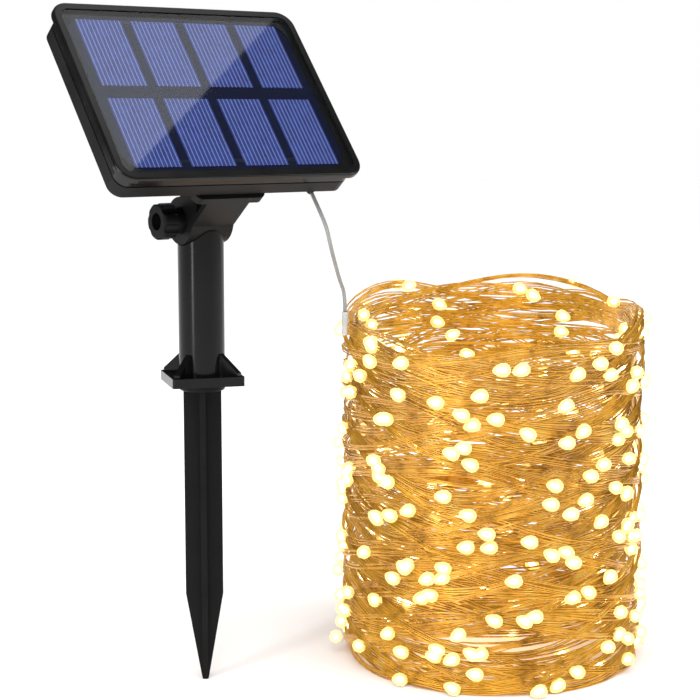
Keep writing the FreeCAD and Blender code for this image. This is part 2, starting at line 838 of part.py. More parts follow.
def make_post_tube():
    """Post with its saddle and hinge lug, flange and gussets in one moulding."""
    body = new_body("post_tube")
    round_bar = new_sketch(body, "XY_Plane", "0")
    draw_circle(round_bar, "post_radius")
    pad(body, round_bar, "hinge_height - horn_drop")
    saddle = new_sketch(body, "YZ_Plane", "0")
    draw_circle(saddle, "knuckle_radius + saddle_gap", "0", "hinge_height")
    pocket(body, saddle, "4 * post_radius", both=True)
    stem = new_sketch(body, "XY_Plane", "hinge_height")
    draw_rectangle(stem, "2 * tongue_half", "2 * lug_stem")
    pad(body, stem, "knuckle_radius + 3", down=True)
    lug = new_sketch(body, "YZ_Plane", "0")
    draw_circle(lug, "lug_radius", "0", "hinge_height")
    pad(body, lug, "2 * tongue_half", both=True)
    flange = new_sketch(body, "XY_Plane", "0")
    draw_turned_square(flange)
    pad(body, flange, "flange_thick")
    gusset = new_sketch(body, "XZ_Plane", "0", turn=45 + size("flange_turn"))
    draw_polygon(
        gusset,
        [
            ("post_radius - 1.5", "flange_thick - 0.5"),
            ("gusset_reach", "flange_thick - 0.5"),
            ("gusset_reach", "flange_thick + 1.2"),
            ("post_radius", "flange_thick + gusset_tall"),
            ("post_radius - 1.5", "flange_thick + gusset_tall"),
        ],
    )
    rib = pad(body, gusset, "gusset_thick", both=True)
    polar(body, rib, "Z_Axis", 4)
    socket = new_sketch(body, "XY_Plane", "0")
    draw_circle(socket, "socket_radius")
    pocket(body, socket, "socket_deep", up=True)
    collar = new_sketch(body, "XY_Plane", "0")
    draw_circle(collar, f"post_radius + {COLLAR_ROOM}")
    pocket(body, collar, "collar_deep", up=True)
    bore = new_sketch(body, "YZ_Plane", "0")
    draw_circle(bore, "bolt_radius + bolt_clearance", "0", "hinge_height")
    pocket(body, bore, "4 * post_radius", both=True)
    reach = size("flange_side") / 2

    def flange_corner(edge):
        box = edge.BoundBox
        upright = abs(box.ZLength - size("flange_thick")) < 0.01
        return upright and math.hypot(edge.CenterOfMass.x, edge.CenterOfMass.y) > reach * 1.3

    round_edges(body, "flange_thick * 0.3", flange_corner)
    return body


def draw_turned_square(sketch):
    """The flange's outline, turned about the post."""
    points = []
    for i in range(4):
        turn = math.radians(45 + 90 * i + size("flange_turn"))
        reach = math.sqrt(2) / 2
        points.append(
            (
                f"flange_side * {reach * math.cos(turn):.9f}",
                f"flange_side * {reach * math.sin(turn):.9f}",
            )
        )
    draw_polygon(sketch, points)


def make_spike():
    """Cross-bladed ground spike, its collar, and the plug that turns in the post."""
    body = new_body("spike")
    body.Placement = FreeCAD.Placement(Vec(0, 0, 0), FreeCAD.Rotation(Vec(0, 0, 1), 1))
    body.setExpression("Placement.Rotation.Angle", "Sizes.spike_turn * 1 deg")
    plug = new_sketch(body, "XY_Plane", "0")
    draw_circle(plug, "socket_radius - plug_clearance")
    pad(body, plug, "plug_length")
    top = size("plug_length")
    round_edges(body, "1", lambda e: at_level(e, top), kind="Chamfer")
    collar = new_sketch(body, "XY_Plane", "collar_deep - collar_gap")
    draw_circle(collar, "post_radius")
    pad(body, collar, "collar_tall + collar_deep - collar_gap", down=True)
    low = -size("collar_tall")
    round_edges(body, "collar_tall * 0.35", lambda e: at_level(e, low))
    blade = new_sketch(body, "XZ_Plane", "0")
    draw_polygon(
        blade,
        [
            ("0 - blade_width / 2", "0 - collar_tall / 2"),
            ("0 - blade_width / 2", "0 - spike_straight"),
            ("0 - spike_tip / 2", "0 - spike_length + 1"),
            ("0 - spike_tip / 4", "0 - spike_length"),
            ("spike_tip / 4", "0 - spike_length"),
            ("spike_tip / 2", "0 - spike_length + 1"),
            ("blade_width / 2", "0 - spike_straight"),
            ("blade_width / 2", "0 - collar_tall / 2"),
        ],
    )
    fin = pad(body, blade, "blade_thick", both=True)
    polar(body, fin, "Z_Axis", 4)
    return body


# ---- string of lights ----

LEAD_ROUTE = [
    (39.9, -24.8, 58.0),
    (43.6, -22.4, 50.2),
    (48.0, -19.4, 43.0),
    (52.5, -16.2, 36.4),
]
COIL_SIDE = math.radians(156)
COIL_FRONT = math.radians(-132)


def boot_way():
    """Down the panel's back, the way the strain relief's boot points."""
    tilt = math.radians(size("panel_tilt"))
    return Vec(0, -math.cos(tilt), -math.sin(tilt))


def boot_tip():
    """The end of the strain relief, where the lead leaves the head."""
    level = size("face_level") - size("bezel_depth") - size("seal_thick")
    level -= size("cover_depth") + size("gland_drop")
    tilt = math.radians(size("panel_tilt"))
    out = Vec(0, -math.sin(tilt), math.cos(tilt)) * level
    along = boot_way() * (size("gland_length") - size("gland_up"))
    return Vec(size("gland_across"), 0, size("hinge_height")) + out + along


def joint_top():
    """Where the lead meets the sleeve that joins it to the string, on the coil's side."""
    out = size("coil_radius") + size("joint_radius") + 0.15
    across = size("coil_across") + out * math.cos(COIL_SIDE)
    ahead = size("coil_ahead") + out * math.sin(COIL_SIDE)
    rim = size("coil_tall") - size("spike_length")
    return Vec(across, ahead, rim + 3)


def smooth_path(points):
    """Straight runs joined by tangent arcs, each as large as its two runs allow."""
    edges = []
    radii = []
    start = points[0]
    for before, corner, after in zip(points, points[1:], points[2:]):
        back = (before - corner).normalize()
        ahead = (after - corner).normalize()
        shorter = min((before - corner).Length, (after - corner).Length)
        turn = math.pi - back.getAngle(ahead)
        trim = 0.45 * shorter
        radius = trim / math.tan(turn / 2)
        enter = corner + back * trim
        leave = corner + ahead * trim
        middle_way = (back + ahead).normalize()
        to_centre = math.hypot(radius, trim)
        middle = corner + middle_way * (to_centre - radius)
        edges.append(Part.LineSegment(start, enter).toShape())
        edges.append(Part.Arc(enter, middle, leave).toShape())
        radii.append(radius)
        start = leave
    edges.append(Part.LineSegment(start, points[-1]).toShape())
    return Part.Wire(edges), radii


def lead_points():
    """Straight out of the boot, down by a route chosen by hand, and straight into the sleeve."""
    leave = boot_tip() + boot_way() * size("lead_start")
    arrive = joint_top() + Vec(0, 0, size("lead_start") - 1)
    route = [Vec(*spot) for spot in LEAD_ROUTE]
    return [boot_tip(), leave] + route + [arrive, joint_top()]


def make_lead_cable():
    points = lead_points()
    path, radii = smooth_path(points)
    first = (points[1] - points[0]).normalize()
    ring = Part.Wire(Part.Circle(points[0], first, size("lead_radius")).toShape())
    pipe = Part.BRepOffsetAPI.MakePipeShell(path)
    pipe.add(ring)
    pipe.build()
    pipe.makeSolid()
    tube = pipe.shape()
    section = math.pi * size("lead_radius") ** 2
    share = abs(tube.Volume) / (section * path.Length)
    print("lead arc radii mm:", [round(r, 1) for r in radii])
    print("lead length mm:", round(path.Length, 2), "volume over section x length:", round(share, 4))
    feature = doc.addObject("Part::Feature", "lead_cable")
    feature.Shape = tube
    return label(feature, "lead_cable")


def make_wire_joint():
    """The sleeve over the splice between the lead and the string."""
    sleeve = doc.addObject("Part::Cylinder", "wire_joint")
    bind(sleeve, "Radius", "joint_radius")
    bind(sleeve, "Height", "joint_length")
    top = joint_top()
    sleeve.Placement = FreeCAD.Placement(Vec(top.x, top.y, top.z), FreeCAD.Rotation())
    bind(sleeve, "Placement.Base.z", f"{top.z:.6f} - joint_length")
    return label(sleeve, "wire_joint")


def make_string_coil():
    """The wound string as one hollow drum, its top rim lower at the front."""
    outer = doc.addObject("Part::Cylinder", "coil_outside")
    bind(outer, "Radius", "coil_radius")
    bind(outer, "Height", "coil_tall + 2 * coil_slope")
    inner = doc.addObject("Part::Cylinder", "coil_inside")
    bind(inner, "Radius", "coil_radius - coil_thick")
    bind(inner, "Height", "coil_tall + 2 * coil_slope")
    ring = doc.addObject("Part::Cut", "coil_ring")
    ring.Base = outer
    ring.Tool = inner
    lid = doc.addObject("Part::Box", "coil_trim")
    span = 4 * size("coil_radius")
    lid.Length = span
    lid.Width = span
    bind(lid, "Height", "4 * coil_slope")
    slope = math.atan2(size("coil_slope"), size("coil_radius"))
    tilt_axis = Vec(-math.sin(COIL_FRONT), math.cos(COIL_FRONT), 0)
    lean = FreeCAD.Rotation(tilt_axis, math.degrees(slope))
    middle = lean.multVec(Vec(-span / 2, -span / 2, 0))
    middle = middle + Vec(0, 0, size("coil_tall"))
    lid.Placement = FreeCAD.Placement(middle, lean)
    drum = doc.addObject("Part::Cut", "string_coil")
    drum.Base = ring
    drum.Tool = lid
    bind(drum, "Placement.Base.x", "coil_across")
    bind(drum, "Placement.Base.y", "coil_ahead")
    bind(drum, "Placement.Base.z", "0 - spike_length")
    return label(drum, "string_coil")


BEAD_RINGS = 9
BEADS_IN_RING = 10
BEAD_GAP = 0.05


def make_led_beads():
    """Lamp beads standing on the drum's outside, spread evenly."""
    group = doc.addObject("Part::Compound", "led_beads")
    beads = []
    golden = math.pi * (3 - math.sqrt(5))
    low = -size("spike_length") + 6
    span = size("coil_tall") - size("coil_slope") - 14
    count = BEAD_RINGS * BEADS_IN_RING
    out = size("coil_radius") + size("bead_radius") + BEAD_GAP
    for i in range(count):
        turn = i * golden
        bead = doc.addObject("Part::Sphere", "bead")
        bind(bead, "Radius", "bead_radius")
        across = size("coil_across") + out * math.cos(turn)
        ahead = size("coil_ahead") + out * math.sin(turn)
        level = low + span * (i + 0.5) / count
        if math.hypot(across - joint_top().x, ahead - joint_top().y) < 6 and level > 0:
            level = level - 14
        bead.Placement = FreeCAD.Placement(Vec(across, ahead, level), FreeCAD.Rotation())
        beads.append(bead)
    group.Links = beads
    return label(group, "led_beads")


def make_string_end():
    """The sleeve that closes the string's far end, at the foot of the drum's inside."""
    cap = doc.addObject("Part::Cylinder", "string_end")
    bind(cap, "Radius", "joint_radius")
    bind(cap, "Height", "joint_length")
    inside = size("coil_radius") - size("coil_thick") - size("joint_radius") - 0.15
    across = size("coil_across") + inside * math.cos(COIL_SIDE)
    ahead = size("coil_ahead") + inside * math.sin(COIL_SIDE)
    spot = Vec(across, ahead, 2 - size("spike_length"))
    cap.Placement = FreeCAD.Placement(spot, FreeCAD.Rotation())
    return label(cap, "string_end")


def build():
    make_front_bezel()
    make_seal_ring()
    make_rear_cover()
    make_glass_cover()
    make_cell_board()
    make_solar_cells()
    make_bus_ribbons()
    make_circuit_board()
    make_board_parts()
    make_tact_switches()
    make_battery_pack()
    make_button("power_button", -1)
    make_button("mode_button", 1)
    make_housing_screws()
    make_tilt_bracket()
    make_bracket_screws()
    make_hinge_bolt()
    make_friction_washers()
    make_knob()
    make_knob_insert()
    make_cable_gland()
    make_post_tube()
    make_spike()
    make_lead_cable()
    make_wire_joint()
    make_string_coil()
    make_led_beads()
    make_string_end()
    doc.recompute()


def check_and_write():
    """Refuse a failed or empty object, then write each sub-part's STEP file."""
    failed = [o.Name for o in doc.Objects if {"Invalid", "Error"} & set(o.State)]
    if failed:
        raise RuntimeError(f"failed objects: {failed}")
    for node in NODES:
        shape = node.Shape
        if shape.isNull() or not shape.isValid() or not shape.Solids:
            raise RuntimeError(f"{node.Label} has no valid solid")
    os.makedirs("parts", exist_ok=True)
    for node in NODES:
        node.Shape.exportStep(f"parts/{node.Label}.step")
        print(node.Label, len(node.Shape.Solids), round(node.Shape.Volume, 2))


build()
check_and_write()
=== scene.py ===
import math
import random

import bpy
import numpy as np
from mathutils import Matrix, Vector


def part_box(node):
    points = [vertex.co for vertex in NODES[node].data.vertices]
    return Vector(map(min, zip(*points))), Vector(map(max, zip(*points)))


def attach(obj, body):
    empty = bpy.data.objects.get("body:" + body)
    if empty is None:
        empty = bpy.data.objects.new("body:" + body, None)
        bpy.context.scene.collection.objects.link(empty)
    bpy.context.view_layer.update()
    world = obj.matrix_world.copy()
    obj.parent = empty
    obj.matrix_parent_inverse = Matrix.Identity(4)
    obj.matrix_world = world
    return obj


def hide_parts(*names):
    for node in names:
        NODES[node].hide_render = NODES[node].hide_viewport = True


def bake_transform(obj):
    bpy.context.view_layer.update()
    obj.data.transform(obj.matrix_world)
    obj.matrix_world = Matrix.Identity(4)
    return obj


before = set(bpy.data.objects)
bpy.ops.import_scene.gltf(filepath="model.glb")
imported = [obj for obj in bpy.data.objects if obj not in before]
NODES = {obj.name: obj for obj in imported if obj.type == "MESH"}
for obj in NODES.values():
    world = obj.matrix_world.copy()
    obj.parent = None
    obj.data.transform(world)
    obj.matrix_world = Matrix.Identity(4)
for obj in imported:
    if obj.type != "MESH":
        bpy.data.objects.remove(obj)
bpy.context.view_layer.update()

MM = 0.001
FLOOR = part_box("spike")[0][2]

COIL_LOW, COIL_HIGH = (Vector(corner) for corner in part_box("string_coil"))
COIL_MIDDLE = (COIL_LOW + COIL_HIGH) / 2
COIL_RADIUS = (COIL_HIGH.x - COIL_LOW.x) / 2
COIL_SLOPE = 9.0 * MM
COIL_TALL = COIL_HIGH.z - COIL_LOW.z - COIL_SLOPE
COIL_FRONT = math.radians(-132)

# The lead's route from the strain relief's boot to the splice sleeve.
LEAD_ROUTE = [
    (0.0385, -0.01689, 0.07082),
    (0.0385, -0.02192, 0.06460),
    (0.0399, -0.0248, 0.0580),
    (0.0436, -0.0224, 0.0502),
    (0.0480, -0.0194, 0.0430),
    (0.0525, -0.0162, 0.0364),
    (0.05702, -0.01336, 0.0310),
    (0.05702, -0.01336, 0.0240),
]
LEAD_DIAMETER = 1.5 * MM
LEAD_SIDES = 14
LEAD_STEPS = 10

STRING_LENGTH = 42.0
LAMP_SPACING = 0.1
LAYERS = 3
BANDS = 7
BAND_CLIMB = 0.6
WEAVES_PER_TURN = 2.37
WEAVE_REACH = 1.3
TOP_WEAVE_REACH = 0.9
TOP_LIFT = 3.0 * MM
LAYER_STEP = 2.3 * MM
OUTER_LAYER_PROUD = 1.6 * MM
FOOT_GAP = 0.9 * MM
RIM_PROUD = 3.5 * MM
DRIFT_TURNS = 1.5
PUSHES_PER_TURN = 4
COIL_SIDE = math.radians(156)
POINTS_PER_TURN = 12
STEPS_PER_POINT = 4
STRANDS = 5
WIRE_RADIUS = 0.32 * MM
WIRE_SIDES = 3
SEED = 11


# ---- node helpers ----


def new_material(name):
    material = bpy.data.materials.new(name)
    material.use_nodes = True
    return material, material.node_tree


def shader_of(tree):
    return next(node for node in tree.nodes if node.type == "BSDF_PRINCIPLED")


def coordinates(tree, scale=(1, 1, 1)):
    place = tree.nodes.new("ShaderNodeTexCoord")
    mapping = tree.nodes.new("ShaderNodeMapping")
    mapping.inputs["Scale"].default_value = scale
    tree.links.new(place.outputs["Object"], mapping.inputs["Vector"])
    return mapping.outputs["Vector"]


def noise(tree, scale, detail=4.0, roughness=0.55, stretch=(1, 1, 1)):
    node = tree.nodes.new("ShaderNodeTexNoise")
    node.inputs["Scale"].default_value = scale
    node.inputs["Detail"].default_value = detail
    node.inputs["Roughness"].default_value = roughness
    tree.links.new(coordinates(tree, stretch), node.inputs["Vector"])
    return node.outputs["Fac"]


def ramp(tree, value, stops):
    node = tree.nodes.new("ShaderNodeValToRGB")
    band = node.color_ramp
    while len(band.elements) < len(stops):
        band.elements.new(0.5)
    for element, (place, colour) in zip(band.elements, stops):
        element.position = place
        element.color = (*colour, 1)
    tree.links.new(value, node.inputs["Fac"])
    return node.outputs["Color"]


def math_node(tree, operation, first, second=None):
    node = tree.nodes.new("ShaderNodeMath")
    node.operation = operation
    for socket, value in zip(node.inputs, (first, second)):
        if value is None:
            continue
        if isinstance(value, (int, float)):
            socket.default_value = value
        else:
            tree.links.new(value, socket)
    return node.outputs["Value"]


def bump(tree, height, strength, distance):
    node = tree.nodes.new("ShaderNodeBump")
    node.inputs["Strength"].default_value = strength
    node.inputs["Distance"].default_value = distance
    tree.links.new(height, node.inputs["Height"])
    return node.outputs["Normal"]


def grey(level):
    return (level, level, level * 1.03)


# ---- materials ----


def moulded(name, colour, roughness, grain, depth, coat=0.0, gloss=0.35):
    """Moulded plastic or rubber: a fine grain, cloudy roughness and faint colour drift."""
    material, tree = new_material(name)
    shader = shader_of(tree)
    cloud = noise(tree, 60, 3)
    light = tuple(min(1, c * 1.18 + 0.002) for c in colour)
    dark = tuple(c * 0.85 for c in colour)
    tree.links.new(ramp(tree, cloud, [(0.3, dark), (0.7, light)]), shader.inputs["Base Color"])
    low = (roughness * 0.85,) * 3
    high = (min(1, roughness * 1.2),) * 3
    tree.links.new(ramp(tree, cloud, [(0.25, low), (0.75, high)]), shader.inputs["Roughness"])
    fine = noise(tree, grain, 2)
    tree.links.new(bump(tree, fine, 0.25, depth), shader.inputs["Normal"])
    shader.inputs["Specular IOR Level"].default_value = gloss
    shader.inputs["Coat Weight"].default_value = coat
    shader.inputs["Coat Roughness"].default_value = 0.06
    return material


def metal(name, colour, roughness):
    """Bright metal with a drawn grain."""
    material, tree = new_material(name)
    shader = shader_of(tree)
    shader.inputs["Metallic"].default_value = 1.0
    grain = noise(tree, 900, 3, stretch=(0.1, 1, 1))
    light = tuple(min(1, c * 1.15) for c in colour)
    dark = tuple(c * 0.8 for c in colour)
    tree.links.new(ramp(tree, grain, [(0.3, dark), (0.7, light)]), shader.inputs["Base Color"])
    low = (roughness * 0.8,) * 3
    high = (roughness * 1.3,) * 3
    tree.links.new(ramp(tree, grain, [(0.2, low), (0.8, high)]), shader.inputs["Roughness"])
    return material


def cell_material():
    """Blue silicon with fine silver fingers running up the panel."""
    material, tree = new_material("cell_silicon")
    shader = shader_of(tree)
    column_pitch = 22.6
    finger_pitch = 1.7
    finger_half = 0.08
    split = tree.nodes.new("ShaderNodeSeparateXYZ")
    tree.links.new(coordinates(tree, (1000, 1000, 1000)), split.inputs["Vector"])
    shifted = math_node(tree, "ADD", split.outputs["X"], 2 * column_pitch)
    across = math_node(tree, "MODULO", shifted, column_pitch)
    centred = math_node(tree, "SUBTRACT", across, column_pitch / 2)
    finger = math_node(tree, "PINGPONG", centred, finger_pitch / 2)
    mask = math_node(tree, "LESS_THAN", finger, finger_half)
    crystal = noise(tree, 220, 6, 0.7)
    blue = ramp(
        tree, crystal, [(0.3, (0.02, 0.032, 0.14)), (0.55, (0.03, 0.048, 0.21)), (0.8, (0.045, 0.07, 0.29))]
    )
    mix = tree.nodes.new("ShaderNodeMix")
    mix.data_type = "RGBA"
    tree.links.new(mask, mix.inputs[0])
    tree.links.new(blue, mix.inputs[6])
    mix.inputs[7].default_value = (0.42, 0.48, 0.74, 1)
    tree.links.new(mix.outputs[2], shader.inputs["Base Color"])
    shader.inputs["Roughness"].default_value = 0.35
    shader.inputs["Specular IOR Level"].default_value = 0.2
    return material


def glass_material():
    """The clear cover: mostly see-through, with a mirror gloss and faint ripples."""
    material, tree = new_material("panel_glass")
    shader = shader_of(tree)
    tree.nodes.remove(shader)
    output = next(node for node in tree.nodes if node.type == "OUTPUT_MATERIAL")
    clear = tree.nodes.new("ShaderNodeBsdfTransparent")
    clear.inputs["Color"].default_value = (0.94, 0.96, 0.98, 1)
    gloss = tree.nodes.new("ShaderNodeBsdfGlossy")
    gloss.inputs["Roughness"].default_value = 0.03
    ripple = bump(tree, noise(tree, 40, 1), 0.05, 0.0002)
    tree.links.new(ripple, gloss.inputs["Normal"])
    mix = tree.nodes.new("ShaderNodeMixShader")
    mix.inputs["Fac"].default_value = 0.07
    tree.links.new(clear.outputs["BSDF"], mix.inputs[1])
    tree.links.new(gloss.outputs["BSDF"], mix.inputs[2])
    tree.links.new(mix.outputs["Shader"], output.inputs["Surface"])
    return material


def wire_material():
    """Enamelled copper with painted shade and painted highlights: noise spots run from a shaded dark brown
    to a bright pale gold, with a painted warm glow in spots standing in for the lamps' light.
    """
    material, tree = new_material("copper_wire")
    shader = shader_of(tree)
    shader.inputs["Metallic"].default_value = 0.75
    # Painted shade and painted highlights: the noise picks between a shaded dark brown, the copper's mid
    # tone and a highlit pale gold.
    shade_and_highlight_spots = noise(tree, 130, 5, 0.65)
    colour = ramp(
        tree, shade_and_highlight_spots, [(0.25, (0.2, 0.065, 0.002)), (0.5, (0.9, 0.43, 0.05)), (0.78, (1.0, 0.68, 0.17))]
    )
    tree.links.new(colour, shader.inputs["Base Color"])
    shader.inputs["Roughness"].default_value = 0.3
    shader.inputs["Specular IOR Level"].default_value = 0.1
    # Painted light: an emission glow in noise spots stands in for the lamps' warm light falling on the wire.
    lit = ramp(tree, noise(tree, 55, 2), [(0.35, (0.06, 0.02, 0.001)), (0.65, (0.9, 0.48, 0.04))])
    tree.links.new(lit, shader.inputs["Emission Color"])
    shader.inputs["Emission Strength"].default_value = 0.25
    return material


def lamp_core_material():
    material, tree = new_material("lamp_core")
    shader = shader_of(tree)
    shader.inputs["Base Color"].default_value = (1, 0.95, 0.8, 1)
    warm = ramp(tree, noise(tree, 400, 1), [(0.3, (1, 0.82, 0.5)), (0.7, (1, 0.93, 0.74))])
    tree.links.new(warm, shader.inputs["Emission Color"])
    shader.inputs["Emission Strength"].default_value = 9.0
    return material


def lamp_shell_material():
    """The clear drop of resin round a lit lamp, glowing yellow from inside."""
    material, tree = new_material("lamp_shell")
    shader = shader_of(tree)
    shader.inputs["Base Color"].default_value = (1, 0.83, 0.45, 1)
    shader.inputs["Roughness"].default_value = 0.12
    glow = ramp(tree, noise(tree, 300, 1), [(0.3, (1, 0.5, 0.07)), (0.7, (1, 0.68, 0.18))])
    tree.links.new(glow, shader.inputs["Emission Color"])
    shader.inputs["Emission Strength"].default_value = 1.5
    shader.inputs["Alpha"].default_value = 0.5
    return material


def paint(node, material):
    """Gives a CAD node this material in each of its slots."""
    mesh_object = NODES[node]
    if not mesh_object.material_slots:
        mesh_object.data.materials.append(material)
    for material_slot in mesh_object.material_slots:
        material_slot.material = material


def paint_frame():
    bezel = moulded("bezel_gloss", grey(0.006), 0.18, 900, 0.00002, gloss=0.4)
    shell = moulded("shell_satin", grey(0.008), 0.42, 1400, 0.00008, gloss=0.16)
    post = moulded("post_gloss", grey(0.003), 0.16, 500, 0.00004, gloss=0.2)
    stake = moulded("stake_satin", grey(0.004), 0.38, 1100, 0.00008, gloss=0.13)
    rubber = moulded("button_rubber", grey(0.03), 0.7, 1600, 0.0001)
    steel = metal("zinc_steel", (0.55, 0.55, 0.57), 0.35)
    brass = metal("brass", (0.75, 0.55, 0.25), 0.3)
    ribbon = metal("tinned_ribbon", (0.05, 0.06, 0.1), 0.45)
    backing = moulded("backing_dark", (0.002, 0.004, 0.02), 0.35, 700, 0.000004, gloss=0.08)
    green = moulded("board_green", (0.02, 0.16, 0.06), 0.35, 900, 0.00003, coat=0.4)
    chip = moulded("chip_black", grey(0.02), 0.5, 900, 0.00004)
    wrap = moulded("battery_wrap", (0.42, 0.45, 0.5), 0.35, 300, 0.00006)
    sleeve = moulded("clear_sleeve", (0.62, 0.62, 0.6), 0.3, 700, 0.00004)
    jobs = {
        bezel: ["front_bezel"],
        shell: ["rear_cover", "tilt_bracket"],
        post: ["post_tube"],
        stake: ["spike", "knob", "cable_gland"],
        rubber: ["power_button", "mode_button", "seal_ring"],
        steel: ["housing_screws", "bracket_screws", "hinge_bolt", "friction_washers"],
        brass: ["knob_insert"],
        ribbon: ["bus_ribbons"],
        backing: ["cell_board"],
        green: ["circuit_board"],
        chip: ["board_parts", "tact_switches"],
        wrap: ["battery_pack"],
        sleeve: ["wire_joint", "string_end"],
        cell_material(): ["solar_cells"],
        glass_material(): ["glass_cover"],
    }
    for material, names in jobs.items():
        for name in names:
            paint(name, material)


# ---- curves and tubes ----


def nurbs(name, points):
    """A smooth open curve with these points as its control points."""
    data = bpy.data.curves.new(name, "CURVE")
    data.dimensions = "3D"
    spline = data.splines.new("NURBS")
    spline.points.add(len(points) - 1)
    for control, point in zip(spline.points, points):
        control.co = (*point, 1)
    spline.order_u = 3
    spline.use_endpoint_u = True
    curve = bpy.data.objects.new(name, data)
    bpy.context.collection.objects.link(curve)
    return curve


def line_of(points, steps):
    """Points along the smooth curve that has these control points."""
    curve = nurbs("route", points)
    curve.data.resolution_u = steps
    bpy.context.view_layer.update()
    mesh = bpy.data.meshes.new_from_object(curve)
    line = np.array([vertex.co[:] for vertex in mesh.vertices])
    bpy.data.meshes.remove(mesh)
    bpy.data.objects.remove(curve)
    return line


def mesh_object(name, points, faces, materials):
    mesh = bpy.data.meshes.new(name)
    mesh.from_pydata(points.tolist(), [], faces)
    mesh.polygons.foreach_set("use_smooth", [True] * len(mesh.polygons))
    for material in materials:
        mesh.materials.append(material)
    mesh.update()
    piece = bpy.data.objects.new(name, mesh)
    bpy.context.collection.objects.link(piece)
    return piece


def unit(vectors):
    return vectors / np.linalg.norm(vectors, axis=1)[:, None]


def tube_parts(line, side, radius, sides, first):
    """Points and faces of one closed tube along a line. side is any direction across it."""
    ahead = unit(np.gradient(line, axis=0))
    side = unit(side - ahead * np.sum(side * ahead, axis=1)[:, None])
    other = np.cross(ahead, side)
    turns = np.arange(sides) * 2 * math.pi / sides
    ring = side[:, None, :] * np.cos(turns)[None, :, None] + other[:, None, :] * np.sin(turns)[None, :, None]
    points = (line[:, None, :] + radius * ring).reshape(-1, 3)
    count = len(line)
    faces = []
    for i in range(count - 1):
        for j in range(sides):
            after = (j + 1) % sides
            low = first + i * sides
            high = low + sides
            faces.append((low + j, low + after, high + after, high + j))
    faces.append(tuple(first + j for j in reversed(range(sides))))
    faces.append(tuple(first + (count - 1) * sides + j for j in range(sides)))
    return points, faces


# ---- lead ----


def make_lead():
    line = line_of(LEAD_ROUTE, LEAD_STEPS)
    across = np.tile([1.0, 0.0, 0.0], (len(line), 1))
    points, faces = tube_parts(line, across, LEAD_DIAMETER / 2, LEAD_SIDES, 0)
    material = moulded("lead_clear", (0.3, 0.3, 0.29), 0.25, 600, 0.00003, coat=0.3)
    lead = mesh_object("lead", points, faces, [material])
    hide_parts("lead_cable")
    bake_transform(lead)


# ---- string of lights ----


class Drift:
    """A smooth random value that changes over about one unit of its argument."""

    def __init__(self, dice, count):
        self.values = [dice.uniform(-1, 1) for _ in range(count + 3)]

    def at(self, place):
        low = int(place)
        share = place - low
        share = share * share * (3 - 2 * share)
        return self.values[low] * (1 - share) + self.values[low + 1] * share


def coil_points(dice):
    """The string's turns: down, up and down the drum, each layer inside the last.

    The outer layers climb in bands, and weave across each band so that the turns cross.
    The innermost one lies in plain turns.
    """
    turns = round(STRING_LENGTH / (2 * math.pi * COIL_RADIUS))
    per_layer = turns / LAYERS
    lean = Drift(dice, turns)
    lean_turn = Drift(dice, turns)
    sag = Drift(dice, turns)
    ripple = Drift(dice, turns)
    push = Drift(dice, turns * PUSHES_PER_TURN)
    points = []
    count = int(turns * POINTS_PER_TURN)
    for i in range(count):
        turn = i / POINTS_PER_TURN
        angle = COIL_SIDE - 2 * math.pi * turn
        layer = turn / per_layer
        share = layer % 1.0
        if int(layer) % 2 == 0:
            share = 1 - share
        band = min(int(share * BANDS), BANDS - 1)
        level = (band + 0.5 + BAND_CLIMB * (share * BANDS - band - 0.5)) / BANDS
        high = COIL_TALL - COIL_SLOPE * math.cos(angle - COIL_FRONT)
        half_band = high / BANDS / 2
        place = turn / DRIFT_TURNS
        swing = math.sin(WEAVES_PER_TURN * angle + 2.5 * lean_turn.at(place))
        inner = layer >= LAYERS - 1
        top = band == BANDS - 1
        reach = 0.0 if inner else TOP_WEAVE_REACH if top else WEAVE_REACH
        weave = reach * math.asin(swing) * 2 / math.pi
        if inner:
            level = 0.01 + 0.98 * share
        wave = half_band * weave + 1.5 * MM * lean.at(turn / 3)
        if top and not inner:
            wave += TOP_LIFT
        wave -= (2.0 + 2.0 * sag.at(place)) * MM * math.cos(2 * (angle - COIL_FRONT))
        wave += 1.0 * MM * ripple.at(turn) * math.cos(5 * angle + 2 * turn)
        radius = COIL_RADIUS + OUTER_LAYER_PROUD - LAYER_STEP * min(int(layer), LAYERS - 1)
        radius += 0.9 * MM * push.at(turn * PUSHES_PER_TURN) + 1.2 * MM * (1 - swing * swing)
        z = COIL_LOW.z + level * high + wave
        z = min(max(z, COIL_LOW.z + FOOT_GAP), COIL_LOW.z + high + RIM_PROUD)
        points.append((
            COIL_MIDDLE.x + radius * math.cos(angle),
            COIL_MIDDLE.y + radius * math.sin(angle),
            z,
        ))
    return points


def string_route(dice):
    """From the splice sleeve down to the first turn, round the coil, and in to the end sleeve."""
    sleeve_low, sleeve_high = (Vector(corner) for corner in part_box("wire_joint"))
    end_low, end_high = (Vector(corner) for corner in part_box("string_end"))
    leave = (sleeve_low + sleeve_high) / 2
    arrive = (end_low + end_high) / 2
    points = [(leave.x, leave.y, sleeve_low.z), (leave.x, leave.y, sleeve_low.z - 3 * MM)]
    points += coil_points(dice)
    points += [(arrive.x, arrive.y, end_high.z + 4 * MM), (arrive.x, arrive.y, end_high.z)]
    return points


def outward_of(line):
    out = line - np.array([COIL_MIDDLE.x, COIL_MIDDLE.y, 0])
    out[:, 2] = 0
    return unit(out)


